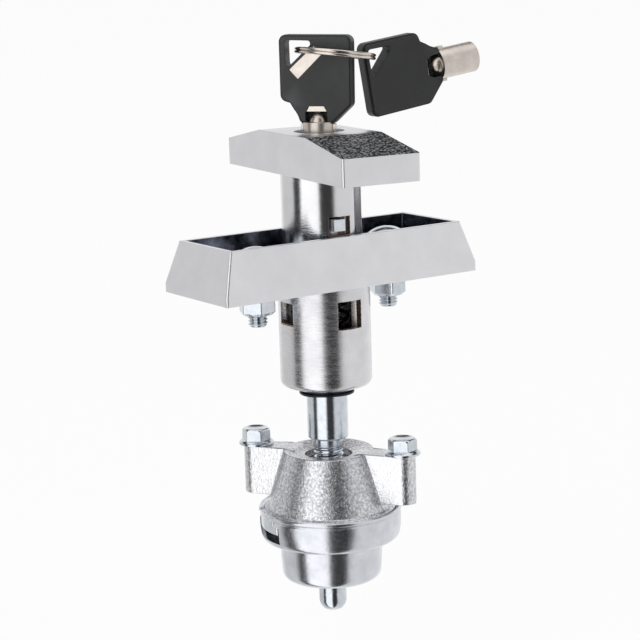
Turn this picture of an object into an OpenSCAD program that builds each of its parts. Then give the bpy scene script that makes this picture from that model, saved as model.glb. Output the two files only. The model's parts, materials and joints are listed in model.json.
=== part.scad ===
// T-handle lock with a pop-out handle, a tubular key lock and a quick-acting split nut receptacle.
// +Z runs along the stud towards the user; z = 0 is the face of the door; X is the long way of the dish.
// The handle is shown popped out and turned across the dish, with the key in the lock.

/* [Dish] */
// length of the dish at the door
dish_len = 91.7; // [86:0.1:100]
// width of the dish at the door
dish_wid = 36; // [35:0.1:42]
// height of the rim above the door
dish_h = 15.6; // [14.5:0.1:18]
// height of the upright band at the foot of the dish
band_h = 2.9; // [2:0.1:4]
// how far each end leans in from foot to rim
lean_x = 3.7; // [3:0.1:4.2]
// how far each side leans in from foot to rim
lean_y = 3.1; // [2.6:0.1:3.3]
// wall of the rim
rim_t = 1.7; // [1.4:0.1:1.9]
// top of the dish floor above the door
floor_z = 3; // [2.6:0.1:3.4]
// rounding of the dish's upright edges
corner_r = 0.8; // [0.5:0.1:1.5]
// distance between the two mounting bolts
bolt_gap = 48.8; // [44:0.1:52]

/* [Barrel] */
// outside radius of the barrel
barrel_r = 14.26; // [13.8:0.01:14.6]
// wall of the barrel
barrel_t = 1.9; // [1.6:0.05:2.1]
// depth of the barrel behind the door
barrel_d = 32.4; // [31:0.1:36]
// width of the side windows
window_w = 8.4; // [6:0.1:10]
// height of the side windows
window_h = 8.5; // [6:0.1:9]

/* [Handle] */
// angle of the handle from the dish
handle_turn = 82.7; // [60:0.1:100]
// height of the head's underside above the door when popped out
pop_z = 33.8; // [33:0.1:38]
// length of the head
head_len = 78.8; // [74:0.1:79.2]
// width of the head
head_wid = 25.6; // [24.8:0.1:25.8]
// thickness at the ends of the head
head_end = 8.2; // [7:0.1:9.5]
// thickness at the middle of the head
head_h = 12.5; // [12:0.1:14]
// length of the level top of the head
head_flat = 32.4; // [28:0.1:40]
// wall of the shank
shank_t = 3.59; // [3.4:0.01:3.7]
// radius of the key hole in the head's top
key_hole_r = 7.7; // [7:0.1:8]
// travel of the handle from locked to popped out
stroke = 27.4; // [26:0.1:27.8]

/* [Stud] */
// radius of the plain rod
rod_r = 6.37; // [6:0.01:6.6]
// outside radius of the thread
thread_r = 4.76; // [4.6:0.01:4.9]
// height of the rod's lower end
rod_z = -49.4; // [-51:0.1:-48]
// height of the stud's tip
tip_z = -106.3; // [-108:0.1:-104]

/* [Receptacle] */
// height of the receptacle's top face
recep_z = -53.4; // [-56:0.1:-53]
// radius of the cone at its top
cone_top_r = 14.2; // [13.8:0.1:14.8]
// radius of the cone where it meets the cup
cone_base_r = 19.6; // [19:0.1:20]
// height of the cone
cone_h = 17.6; // [17:0.1:19]
// outside radius of the cup
cup_r = 22.2; // [21.8:0.1:23]
// radius of the cup's lower drum
drum_r = 16.1; // [15.8:0.1:17]
// height of the cup
cup_h = 23.8; // [23:0.1:26]
// circle of the two flange screws
screw_r = 24.6; // [24:0.1:26]
// direction of the first ear
ear_turn = -55.8; // [-90:0.1:0]

/* [Lock and keys] */
// outside radius of the key's tube
tube_r = 4.75; // [4.6:0.01:4.9]
// length of a key's tube behind its bow
tube_len = 12.4; // [12:0.1:13]
// direction of the key's width in the lock
key_turn = -51; // [-90:1:0]
// width of a key's bow
bow_w = 22.8; // [21:0.1:24]
// thickness of a key's bow
bow_t = 5; // [4.4:0.1:5.4]
// mean radius of the split ring
ring_r = 12; // [11.8:0.1:12.4]
// diameter of the ring's wire
ring_wire = 1.1; // [1:0.05:1.2]

/* [Hidden] */
$fn = 72;
slack = 0.07;                      // running clearance of a shaft in its bore
ease = 0.3;                        // clearance of pieces that pass one another
press = 0.02;                      // gap left where a piece is pressed home
thread_slack = 0.04;
bore_r = barrel_r - barrel_t;
shank_r = bore_r - slack;
barrel_floor = 1.8;
collar_z = floor_z + 3;            // top of the barrel inside the dish
collar_r = barrel_r + 0.4;         // shoulder that seats in the dish floor
recess_t = 0.8;                    // relief under the dish behind its seat lip
seat_lip = 3.2;
head_top = pop_z + head_h;
fork_t = 2;
washer_t = 0.8;
fork_z = -barrel_d + barrel_floor + washer_t + 0.1;
shank_z = fork_z + fork_t + stroke + ease;
shank_top = head_top - 2.4;        // under the lip of the head's key hole
shank_bore = shank_r - shank_t;
lock_r = shank_bore - 0.1;
lock_z = 14.2;                     // rear face of the lock
lock_top = shank_top;
catch_z = 18.65;                   // middle of the lock bolt
catch_w = 3.9;
catch_h = 3.7;
catch_block = [4.2, 4.8, 6.4];     // the bolt's rear block: behind the axis, before it, and its width
catch_room = 2.4;                  // room for the rear block to slide forward
cam_top = catch_z + catch_h / 2 + 2.6;
crank_r = 1.45;                    // offset of the crank pin that moves the lock bolt
window_z = catch_z - stroke;       // middle of the windows the bolt drops into
groove_w = 5.9;
groove_r = bore_r - 2.56;
prong_w = groove_w - ease;
prong_z = collar_z - 4;
prong_turn = 41.3;
prong_r = bore_r - ease;
post_r = tube_r - 1.3;
tube_bore = post_r + 0.2;
plug_r = 6;
bow_z = head_top + 2.2;            // lower end of the bow above the lock
socket_z = bow_z - tube_len;       // bottom of the key tube's seat
bow_h = 27;
core_t = 1.8;
core_y = 0.1;                      // the core's back face from the middle of the bow
hole_x = -6;                       // middle of the key's ring hole
hole_z = 22.1;
ring_x = hole_x - 0.5;             // where the ring passes through a key's hole
ring_z = hole_z + 0.3;
cup_z = recep_z - cone_h - 0.3;    // rim of the cup
cup_t = 1.2;
cone_slope = 18;
jaw_top_z = recep_z - 3.8;
jaw_h = 12.3;
jaw_gap = 0.12;
throat_r = 7.4;
cave_r = 8.4;                      // cone cavity at its top
spread = 3.6;                      // travel of a jaw along the cone
plate_z = jaw_top_z - jaw_h - 0.15;
plate_t = 1.2;
drum_z = cup_z - cup_h;
flange_r = 5.5;
boss_r = 4;
ear_h = 15.5;

chrome = [0.78, 0.78, 0.8];
satin = [0.66, 0.66, 0.68];
zinc = [0.72, 0.75, 0.8];
steel = [0.6, 0.6, 0.62];
dark = [0.08, 0.08, 0.09];
plastic = [0.17, 0.17, 0.18];
nickel = [0.72, 0.68, 0.64];

module plate(l, w, r) { offset(r = r, $fn = 24) square([l - 2 * r, w - 2 * r], center = true); }

// a block that leans in evenly from one rounded outline to another
module lean_block(l0, w0, l1, w1, h, r) {
    hull() {
        linear_extrude(height = 0.01) plate(l0, w0, r);
        translate([0, 0, h - 0.01]) linear_extrude(height = 0.01) plate(l1, w1, r);
    }
}

// a helical wire: its level section is a bent lens that follows the coil circle
module coil(mean_r, wire, turns, h) {
    rise = (h - wire) / turns;
    span = 360 * wire / rise / 2;
    steps = 3;
    pts = [for (i = [-steps:steps]) let (a = span * i / steps, t = wire / 2 * sqrt(max(0, 1 - pow(i / steps, 2))))
        (mean_r + t) * [cos(a), sin(a)]];
    back = [for (i = [steps - 1:-1:-steps + 1]) let (a = span * i / steps,
        t = wire / 2 * sqrt(max(0, 1 - pow(i / steps, 2)))) (mean_r - t) * [cos(a), sin(a)]];
    linear_extrude(height = h, twist = -360 * h / rise, slices = ceil(12 * h / rise), segments = 12)
        polygon(concat(pts, back));
}

// dish: upright band, leaning walls, level floor with the barrel hole and two square bolt holes
module escutcheon_dish() {
    in_l = dish_len - 2 * lean_x - 2 * rim_t;
    in_w = dish_wid - 2 * lean_y - 2 * rim_t;
    color(chrome) difference() {
        union() {
            linear_extrude(height = band_h) plate(dish_len, dish_wid, corner_r);
            translate([0, 0, band_h]) lean_block(dish_len, dish_wid, dish_len - 2 * lean_x,
                dish_wid - 2 * lean_y, dish_h - band_h, corner_r);
        }
        translate([0, 0, floor_z]) lean_block(in_l - 1, in_w - 0.2, in_l, in_w, dish_h - floor_z + 0.01, corner_r);
        translate([0, 0, -1]) linear_extrude(height = 1 + recess_t)
            plate(dish_len - 2 * seat_lip, dish_wid - 2 * seat_lip, 1);
        translate([0, 0, -1]) cylinder(r = collar_r + press, h = collar_z + 1 + ease);
        for (s = [-1, 1]) translate([s * bolt_gap / 2, 0, 0]) cube([6.3, 6.3, 20], center = true);
    }
}

// barrel: drawn tube with a closed, rounded end and two windows for the lock bolt
module housing_barrel() {
    color(satin) difference() {
        rotate_extrude() polygon(concat(
            [[rod_r + slack + 0.01, -barrel_d], [barrel_r - 2, -barrel_d]],
            [for (a = [15:15:75]) [barrel_r - 2 + 2 * sin(a), -barrel_d + 2 - 2 * cos(a)]],
            [[barrel_r, -barrel_d + 2], [barrel_r, recess_t], [collar_r, recess_t], [collar_r, collar_z], [bore_r, collar_z],
             [bore_r, -barrel_d + barrel_floor], [rod_r + slack + 0.01, -barrel_d + barrel_floor]]));
        translate([-window_w / 2, -barrel_r - 1, window_z - window_h / 2]) cube([window_w, 6, window_h]);
        translate([-barrel_r - 1, -window_w / 2 + 0.9, window_z - window_h / 2 + 1.4])
            cube([6, window_w - 1.8, window_h - 2]);
    }
}

// carriage bolts: domed head in the dish, square neck in the floor, plain shank for the nut
module mounting_bolts() {
    color(zinc) for (s = [-1, 1]) translate([s * bolt_gap / 2, 0, 0]) {
        translate([0, 0, floor_z]) rotate_extrude() intersection() {
            translate([0, -6.2]) circle(r = 9.3);
            square([6.9, 3.1]);
        }
        translate([-3, -3, floor_z - 2.2]) cube([6, 6, 2.4]);
        translate([0, 0, -10.9]) cylinder(r = 3, h = 12.2);
    }
}

module flat_washers() {
    color(zinc) for (s = [-1, 1]) translate([s * bolt_gap / 2, 0, recess_t - 1.2]) difference() {
        cylinder(r = 6, h = 1.2);
        translate([0, 0, -1]) cylinder(r = 3.2, h = 4);
    }
}

// split spring washers, closed flat
module spring_washers() {
    color(zinc) for (s = [-1, 1]) translate([s * bolt_gap / 2, 0, recess_t - 2.9]) difference() {
        cylinder(r = 5.5, h = 1.6);
        translate([0, 0, -1]) cylinder(r = 3.15, h = 4);
        rotate([0, 0, 200]) translate([2, -0.35, -1]) cube([5, 0.7, 4]);
    }
}

module hex(af, h) { cylinder(d = af / cos(30), h = h, $fn = 6); }

// six-sided nuts with chamfered corners
module mounting_nuts() {
    color(zinc) for (s = [-1, 1]) translate([s * bolt_gap / 2, 0, recess_t - 8.05]) rotate([0, 0, 10])
        difference() {
            intersection() {
                hex(10, 5.1);
                translate([0, 0, -0.01]) cylinder(r1 = 5.1, r2 = 10.3, h = 5.2);
                translate([0, 0, -0.01]) cylinder(r1 = 10.3, r2 = 5.1, h = 5.2);
            }
            translate([0, 0, -1]) cylinder(r = 3 + slack, h = 8);
        }
}

// ring that carries the fork on the barrel floor
module thrust_washer() {
    color(steel) translate([0, 0, -barrel_d + barrel_floor]) difference() {
        cylinder(r = prong_r - 0.4, h = washer_t);
        translate([0, 0, -1]) cylinder(r = rod_r + ease, h = 4);
    }
}

// head of the handle: long block with two sloped ends, pockets below and a stepped socket
module t_handle_head() {
    color(chrome) rotate([0, 0, handle_turn]) difference() {
        intersection() {
            translate([0, head_wid / 2, pop_z]) rotate([90, 0, 0]) linear_extrude(height = head_wid)
                polygon([[-head_len / 2, 0], [head_len / 2, 0], [head_len / 2, head_end],
                    [head_flat / 2, head_h], [-head_flat / 2, head_h], [-head_len / 2, head_end]]);
            translate([0, 0, pop_z - 1]) linear_extrude(height = head_h + 2) plate(head_len, head_wid, corner_r);
        }
        translate([0, 0, pop_z - 1]) cylinder(r = shank_r + press, h = shank_top + 0.2 - pop_z + 1);
        translate([0, 0, pop_z - 1]) cylinder(r = key_hole_r, h = head_h + 3);
        for (s = [-1, 1]) translate([s * (head_len / 4 + 7), 0, pop_z + 2.4])
            cube([head_len / 2 - 20, head_wid - 5.6, 5], center = true);
    }
}

// shank: steel tube with two long drive grooves and the lock bolt's window
module handle_shank() {
    color(chrome) rotate([0, 0, handle_turn]) difference() {
        translate([0, 0, shank_z]) cylinder(r = shank_r, h = shank_top - shank_z);
        translate([0, 0, shank_z - 1]) cylinder(r = shank_bore, h = head_top - shank_z + 2);
        for (s = [0, 180]) rotate([0, 0, s + 180 + prong_turn])
            translate([groove_r, -groove_w / 2, shank_z - 1]) cube([5, groove_w, pop_z - shank_z + 1]);
        translate([-shank_r - 2, -3.5, catch_z - 2.95]) cube([6, 7, 5.6]);
    }
}

// shell of the lock: key seat on top, plug bore below, cross slot for the bolt
module lock_shell() {
    color(chrome) rotate([0, 0, handle_turn]) difference() {
        rotate_extrude() polygon([[0, lock_z], [lock_r - 0.5, lock_z], [lock_r, lock_z + 0.5],
            [lock_r, lock_top - 0.5], [lock_r - 0.5, lock_top], [0, lock_top]]);
        translate([0, 0, socket_z - 0.1]) cylinder(r = tube_r + 0.2, h = 10);
        translate([0, 0, catch_z + catch_h / 2 + 0.3]) cylinder(r = plug_r + slack,
            h = socket_z - catch_z - catch_h / 2 - 0.3);
        translate([-lock_r - 2, -catch_w / 2 - 0.1, catch_z - catch_h / 2 - 0.1])
            cube([lock_r + 2, catch_w + 0.2, catch_h + 0.45]);
        translate([-catch_block[1] - catch_room, -catch_block[2] / 2 - 0.15, catch_z - catch_h / 2 - 0.1])
            cube([catch_block[0] + catch_block[1] + catch_room + 0.3, catch_block[2] + 0.3, catch_h + 0.45]);
    }
}

// block that holds the drivers behind the plug
module tumbler_block() {
    color(nickel) rotate([0, 0, handle_turn]) translate([0, 0, cam_top + ease]) difference() {
        cylinder(r = plug_r + slack - press, h = socket_z - 9 - cam_top - ease);
        translate([0, 0, -1]) cylinder(r = 2.6, h = 9);
    }
}

// plug: pin carrier with the centre post, shaft, cam disc and an offset crank pin for the bolt
module lock_plug() {
    color(nickel) difference() {
        union() {
            translate([0, 0, socket_z - 8.9]) cylinder(r = plug_r, h = 8.7);
            translate([0, 0, socket_z - 1]) cylinder(r = post_r, h = lock_top - socket_z + 0.5);
            translate([0, 0, catch_z + 3]) cylinder(r = 2.5, h = socket_z - catch_z - 5);
            translate([0, 0, cam_top - 2.1]) cylinder(r = 4.2, h = 2.1);
            rotate([0, 0, handle_turn + 45]) translate([crank_r, 0, catch_z - 1.2]) cylinder(r = 1, h = 4, $fn = 32);
        }
        for (i = [0:6]) rotate([0, 0, key_turn + i * 360 / 7]) translate([(post_r + tube_r) / 2 + 0.1, 0, socket_z - 8])
            cylinder(r = 0.7, h = 9, $fn = 24);
        rotate([0, 0, key_turn]) translate([post_r - 0.7, -0.6, socket_z + 1]) cube([2, 1.2, 9]);
    }
}

module tumbler_pins() {
    color(nickel) for (i = [0:6]) rotate([0, 0, key_turn + i * 360 / 7])
        translate([(post_r + tube_r) / 2 + 0.1, 0, socket_z - 7.9]) cylinder(r = 0.65, h = 7.2 + 0.5 * (i % 3) - 0.7, $fn = 24);
}

// sliding bolt with the crank pin's cross slot and a nose that stands flush with the shank
module lock_bolt() {
    color(zinc) rotate([0, 0, handle_turn + 180]) translate([0, 0, catch_z - catch_h / 2]) difference() {
        union() {
            translate([-catch_block[0], -catch_block[2] / 2, 0])
                cube([catch_block[0] + catch_block[1], catch_block[2], catch_h]);
            translate([catch_block[0] - 0.2, -catch_w / 2, 0])
                cube([shank_r - ease - catch_block[0] + 0.2, catch_w, catch_h]);
        }
        translate([-crank_r * cos(45) - 1.2, -2.6, 0.5]) cube([2.4, 2.7, 4]);
    }
}

// fork that turns the stud: a flange on the barrel floor and two upright prongs in the shank's grooves
module drive_fork() {
    color(steel) rotate([0, 0, handle_turn]) translate([0, 0, fork_z]) difference() {
        cylinder(r = prong_r, h = prong_z - fork_z);
        translate([0, 0, -1]) cylinder(r = rod_r - 1 + press, h = 5);
        translate([0, 0, fork_t]) rotate([0, 0, prong_turn]) {
            translate([-groove_r - ease / 2, -20, 0]) cube([2 * groove_r + ease, 40, 40]);
            for (s = [-1, 1]) translate([-20, s * (prong_w / 2 + 20) - 20, 0]) cube([40, 40, 40]);
        }
    }
}

// stud: pilot post, shouldered rod, thread and rounded nose; the ring groove is just behind the barrel
module threaded_stud() {
    color(zinc) difference() {
        rotate_extrude() polygon([[0, fork_z + fork_t + 11], [4.8, fork_z + fork_t + 11],
            [5.37, fork_z + fork_t + 10], [rod_r - 1, fork_z - 0.05], [rod_r, fork_z - 0.05],
            [rod_r, rod_z + 0.7], [rod_r - 0.7, rod_z], [thread_r, rod_z], [thread_r, tip_z + 14.6],
            [thread_r - 0.4, tip_z + 14.2], [thread_r - 0.4, tip_z + 3.4], [3.9, tip_z + 1.9],
            [3, tip_z + 0.8], [1.7, tip_z + 0.15], [0, tip_z]]);
        translate([0, 0, -barrel_d - 1.7]) difference() {
            cylinder(r = rod_r + 1, h = 1.25);
            translate([0, 0, -1]) cylinder(r = rod_r - 0.8, h = 4);
        }
    }
}

// open ring that snaps into the stud's groove behind the barrel
module retaining_ring() {
    color(dark) translate([0, 0, -barrel_d - 1.6]) difference() {
        cylinder(r = 8.5, h = 1.1);
        translate([0, 0, -1]) cylinder(r = rod_r - 0.8 + press, h = 4);
        rotate([0, 0, 60]) translate([0, -2.4, -1]) cube([10, 4.8, 4]);
    }
}

module popout_spring() {
    h = lock_z - fork_z - fork_t - 0.2;
    color(dark) translate([0, 0, fork_z + fork_t + 0.1]) rotate([0, 0, 20]) coil(7.2, 1.3, 8, h);
}

// outline of a key's bow: the hollow shoulder is on the side of the ring hole
module bow_outline(r = 0) {
    difference() {
        offset(r = 2.2 - r, $fn = 32) offset(delta = -2.2) polygon([[-bow_w / 2, 7.3], [-bow_w / 2, bow_h],
            [bow_w / 2, bow_h - 0.4], [bow_w / 2 - 0.3, 5.6], [5, 0], [-5.8, 0], [-5.8, 2], [-8.4, 6.4]]);
        translate([-12.6, -0.4]) circle(r = 7.2 + r, $fn = 48);
    }
}

module ring_hole(g = 0) {
    offset(r = 0.9 + g, $fn = 16) polygon([[hole_x - 2.5, hole_z + 2.3], [hole_x + 3.8, hole_z + 2.1],
        [hole_x - 2.4, hole_z - 3.6]]);
}

module window_strip(g = 0) {
    offset(delta = g) polygon([[-8.4, 16.4], [-5.7, 13.5], [2.6, 21.4], [-0.3, 23.6]]);
}

// moulded bow with a pocket for the core, a slanted window on it and an arch for the tube
module bow() {
    difference() {
        union() {
            rotate([90, 0, 0]) translate([0, 0, -bow_t / 2]) linear_extrude(height = bow_t) bow_outline(0.6);
            rotate([90, 0, 0]) translate([0, 0, -bow_t / 2 + 0.7]) linear_extrude(height = bow_t - 1.4) bow_outline();
        }
        rotate([90, 0, 0]) translate([0, 0, -bow_t]) linear_extrude(height = 2 * bow_t) ring_hole();
        rotate([90, 0, 0]) linear_extrude(height = bow_t) window_strip();
        rotate([90, 0, 0]) translate([0, 0, -bow_t]) linear_extrude(height = 2 * bow_t)
            polygon([[-3.6, -1], [3.6, -1], [3.4, 3.6], [2.4, 5.4], [-2.4, 5.4], [-3.4, 3.6]]);
        rotate([90, 0, 0]) translate([0, 0, core_y - press]) linear_extrude(height = core_t + 2 * press)
            offset(delta = press) core_outline();
        translate([0, 0, -1]) cylinder(r = tube_r + press, h = 1.8);
    }
}

module core_outline() {
    difference() {
        polygon([[-8.8, 14], [-4, 9], [-3.2, 3.8], [3.2, 3.8], [6, 12], [5, 22], [0, 24.4], [-8.8, 17.2]]);
        ring_hole(0.5);
    }
}

module core() { rotate([90, 0, 0]) translate([0, 0, core_y]) linear_extrude(height = core_t) core_outline(); }

// key tube: domed top, two lugs under the bow, hollow end that seats over the lock's post
module tube() {
    difference() {
        union() {
            translate([0, 0, socket_z - bow_z + 0.15]) cylinder(r = tube_r, h = bow_z - socket_z + 0.5);
            intersection() {
                translate([0, 0, 0.4]) sphere(r = 3.1, $fn = 48);
                cylinder(r = 3.1, h = 5);
            }
            for (s = [0, 180]) rotate([0, 0, s]) translate([4, -0.9, -1.9]) cube([1.5, 1.8, 1.9]);
        }
        translate([0, 0, socket_z - bow_z - 1]) cylinder(r = tube_bore, h = bow_z - socket_z - 0.2);
    }
    translate([post_r - 0.5, -0.5, -4]) cube([0.9, 1, 3]);
}

module at_lock() { rotate([0, 0, key_turn]) translate([0, 0, bow_z]) children(); }

// middle of the first key's ring hole, and the ring's middle and the second hole from it
function turned(v, a) = [v[0] * cos(a) - v[1] * sin(a), v[0] * sin(a) + v[1] * cos(a), v[2]];
hole_a = turned([ring_x, 0, bow_z + ring_z], key_turn);
ring_dir = -25;
ring_dip = 8;
chord = [cos(ring_dir) * cos(ring_dip), sin(ring_dir) * cos(ring_dip), -sin(ring_dip)];
ring_mid = hole_a + ring_r * chord;
hole_b = hole_a + 2 * ring_r * chord;

module at_ring() { translate(hole_b) rotate([0, 0, -6]) rotate([0, -98, 0]) rotate([0, 0, 180])
    translate([-ring_x, 0, -ring_z]) children(); }

module key_bow() { color(plastic) at_lock() bow(); }
module key_core() { color(nickel) at_lock() core(); }
module key_tube() { color(nickel) at_lock() tube(); }
module spare_key_bow() { color(plastic) at_ring() bow(); }
module spare_key_core() { color(nickel) at_ring() core(); }
module spare_key_tube() { color(nickel) at_ring() tube(); }

// split ring: two coils of round wire lying on one another
module split_ring() {
    color(nickel) translate(ring_mid) rotate([0, ring_dip, 0]) rotate([0, 0, ring_dir]) rotate_extrude()
        for (s = [-1, 1]) translate([ring_r, s * (ring_wire / 2 - 0.03)]) circle(d = ring_wire, $fn = 24);
}

function cone_at(z) = cave_r + (jaw_top_z - z) * tan(cone_slope);

// receptacle body: cast cone with a shallow funnel, two ears, a tapered cave and bayonet lugs
module receptacle_cone() {
    base_z = recep_z - cone_h;
    low_z = jaw_top_z - jaw_h - spread * cos(cone_slope) - 0.6;
    color(satin) difference() {
        union() {
            rotate_extrude() polygon([[0, recep_z - 1.4], [7.2, recep_z - 1.4], [12.6, recep_z - 0.2],
                [cone_top_r - 0.3, recep_z - 0.1], [cone_top_r, recep_z - 0.5], [cone_base_r, base_z],
                [cup_r - cup_t - ease, base_z - 0.5], [cup_r - cup_t - ease, low_z], [0, low_z]]);
            for (s = [0, 180]) rotate([0, 0, ear_turn + s]) translate([0, 0, recep_z - ear_h]) {
                translate([10, -boss_r, 0]) cube([screw_r - 10, 2 * boss_r, ear_h]);
                translate([screw_r, 0, 0]) cylinder(r = boss_r, h = ear_h);
            }
            for (s = [0, 180]) rotate([0, 0, 152 + s]) rotate_extrude(angle = 35.5)
                translate([cup_r - cup_t - 2, low_z + 0.2]) square([cup_t + 1.85, base_z - low_z - 0.9]);
        }
        rotate_extrude() polygon([[0, low_z - 1], [cone_at(low_z - 1), low_z - 1], [cave_r, jaw_top_z + 0.1],
            [throat_r, jaw_top_z + 0.1], [throat_r, recep_z + 4], [0, recep_z + 4]]);
        for (s = [0, 180]) rotate([0, 0, ear_turn + s]) translate([screw_r, 0, recep_z - 11])
            cylinder(r = 2.5, h = 20);
    }
}

// sheet cup: wide drum, rounded shoulder, narrow drum with a hole for the stud, two bayonet slots
module receptacle_cup() {
    r1 = cup_r; r2 = drum_r; t = cup_t;
    step_z = cup_z - 10.4;
    color(chrome) difference() {
        rotate_extrude() difference() {
            polygon(concat([[0, cup_z], [r1, cup_z]],
                [for (a = [0:15:90]) [r1 - 3 + 3 * cos(a), step_z + 3 - 3 * sin(a)]],
                [[r2 + 0.6, step_z], [r2, step_z - 0.6]],
                [for (a = [0:15:90]) [r2 - 2.4 + 2.4 * cos(a), drum_z + 2.4 - 2.4 * sin(a)]], [[0, drum_z]]));
            polygon(concat([[0, cup_z + 1], [r1 - t, cup_z + 1]],
                [for (a = [0:15:90]) [r1 - t - 2 + 2 * cos(a), step_z + t + 2 - 2 * sin(a)]],
                [[r2 - t + 0.3, step_z + t], [r2 - t, step_z + t - 0.4]],
                [for (a = [0:15:90]) [r2 - t - 1.6 + 1.6 * cos(a), drum_z + t + 1.6 - 1.6 * sin(a)]],
                [[0, drum_z + t]]));
        }
        translate([0, 0, drum_z - 1]) cylinder(r = thread_r + 0.7, h = 5);
        for (s = [0, 180]) rotate([0, 0, 150 + s]) rotate_extrude(angle = 39.5)
            translate([r1 - t - 1, cup_z - 8.4]) square([t + 3, 12]);
    }
}

// hexagon flange screws in the ears
module flange_screws() {
    color(zinc) for (s = [0, 180]) rotate([0, 0, ear_turn + s]) translate([screw_r, 0, recep_z]) {
        rotate_extrude() polygon([[0, 0], [flange_r, 0], [flange_r, 0.7], [4.6, 1.5], [0, 1.5]]);
        intersection() {
            rotate([0, 0, 12]) hex(8, 5.2);
            cylinder(r1 = 7.4, r2 = 3.9, h = 5.3);
        }
        translate([0, 0, -10.5]) cylinder(r = 2.5 - press, h = 11);
    }
}

// one third of the split nut: cone outside, stud bore inside
module jaw(a) {
    color(steel) rotate([0, 0, a]) rotate_extrude(angle = 114) polygon([[thread_r + thread_slack + 0.5, jaw_top_z],
        [cave_r - jaw_gap / cos(cone_slope), jaw_top_z],
        [cave_r - jaw_gap / cos(cone_slope) + jaw_h * tan(cone_slope), jaw_top_z - jaw_h],
        [thread_r + thread_slack + 0.7, jaw_top_z - jaw_h], [thread_r + thread_slack, jaw_top_z - jaw_h + 0.7],
        [thread_r + thread_slack, jaw_top_z - 0.5]]);
}
module nut_jaw_a() { jaw(-117); }
module nut_jaw_b() { jaw(3); }
module nut_jaw_c() { jaw(123); }

module jaw_plate() {
    color(zinc) translate([0, 0, plate_z - plate_t]) difference() {
        cylinder(r = 12, h = plate_t);
        translate([0, 0, -1]) cylinder(r = 7, h = 5);
    }
}

module jaw_spring() {
    color(dark) translate([0, 0, drum_z + cup_t + 0.05]) coil(10.4, 1.6, 4, plate_z - plate_t - drum_z - cup_t - 0.1);
}

escutcheon_dish();
housing_barrel();
mounting_bolts();
flat_washers();
spring_washers();
mounting_nuts();
thrust_washer();
t_handle_head();
handle_shank();
lock_shell();
tumbler_block();
lock_plug();
tumbler_pins();
lock_bolt();
drive_fork();
threaded_stud();
retaining_ring();
popout_spring();
key_bow();
key_core();
key_tube();
split_ring();
spare_key_bow();
spare_key_core();
spare_key_tube();
receptacle_cone();
receptacle_cup();
flange_screws();
nut_jaw_a();
nut_jaw_b();
nut_jaw_c();
jaw_plate();
jaw_spring();
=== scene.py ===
import bmesh
import bpy
import json
import math
import numpy as np
from mathutils import Matrix, Vector


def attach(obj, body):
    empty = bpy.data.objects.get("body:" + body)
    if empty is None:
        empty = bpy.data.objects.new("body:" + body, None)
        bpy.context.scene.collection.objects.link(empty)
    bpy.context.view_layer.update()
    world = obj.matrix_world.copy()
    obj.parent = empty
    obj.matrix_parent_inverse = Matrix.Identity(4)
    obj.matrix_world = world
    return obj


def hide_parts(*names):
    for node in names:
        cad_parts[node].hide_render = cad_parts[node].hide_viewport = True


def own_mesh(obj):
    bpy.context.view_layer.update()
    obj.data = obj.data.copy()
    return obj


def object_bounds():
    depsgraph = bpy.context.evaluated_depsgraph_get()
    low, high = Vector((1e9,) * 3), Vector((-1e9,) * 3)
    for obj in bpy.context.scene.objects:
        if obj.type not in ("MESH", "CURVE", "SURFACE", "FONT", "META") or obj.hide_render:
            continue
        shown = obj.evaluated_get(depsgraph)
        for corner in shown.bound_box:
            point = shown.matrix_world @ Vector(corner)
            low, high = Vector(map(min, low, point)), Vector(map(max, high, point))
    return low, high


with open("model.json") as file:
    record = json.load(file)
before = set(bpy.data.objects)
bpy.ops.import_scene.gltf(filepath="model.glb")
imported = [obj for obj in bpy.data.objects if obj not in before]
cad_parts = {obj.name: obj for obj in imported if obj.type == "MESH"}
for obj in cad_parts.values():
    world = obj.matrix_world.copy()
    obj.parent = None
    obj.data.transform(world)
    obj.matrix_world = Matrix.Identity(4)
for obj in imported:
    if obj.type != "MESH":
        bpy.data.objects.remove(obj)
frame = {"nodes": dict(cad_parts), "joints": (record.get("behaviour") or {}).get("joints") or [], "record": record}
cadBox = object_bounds()
mm = 0.001
# a metre in millimetres, which turns the size of a pattern into its scale
metre = 1000
record = frame["record"]
slotOf = {part["node"]: part["material_slot"] for part in record["subparts"]}
bodyOf = {node: body for body, nodes in record["behaviour"]["bodies"].items() for node in nodes}
joints = {joint["name"]: joint for joint in frame["joints"]}
print("frame loaded:", len(frame["nodes"]), "nodes")

# the photograph's camera, found from the part's measured edges: it stands to the left of the dish and a
# little above; angles are in degrees, lens and sensor in millimetres, clip in metres
camera = {"distance": 582.525 * mm, "height": 103.941 * mm, "azimuth": 34.0, "yaw": -0.144, "pitch": 11.282,
          "roll": -1.743, "lens": 107.94, "sensor": 36, "clip": (0.05, 60)}


def makeCamera():
    azimuth, yaw, tilt, roll = (math.radians(camera[k]) for k in ("azimuth", "yaw", "pitch", "roll"))
    turn = azimuth + yaw
    ahead = Vector((math.sin(turn) * math.cos(tilt), math.cos(turn) * math.cos(tilt), -math.sin(tilt)))
    right = Vector((math.cos(turn), -math.sin(turn), 0))
    up = right.cross(ahead)
    right, up = right * math.cos(roll) + up * math.sin(roll), up * math.cos(roll) - right * math.sin(roll)
    data = bpy.data.cameras.new("camera")
    data.lens, data.sensor_width = camera["lens"], camera["sensor"]
    data.clip_start, data.clip_end = camera["clip"]
    obj = bpy.data.objects.new("camera", data)
    place = Matrix((right, up, -ahead)).transposed().to_4x4()
    place.translation = (-camera["distance"] * math.sin(azimuth), -camera["distance"] * math.cos(azimuth),
                         camera["height"])
    obj.matrix_world = place
    bpy.context.scene.collection.objects.link(obj)
    bpy.context.scene.camera = obj


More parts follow.
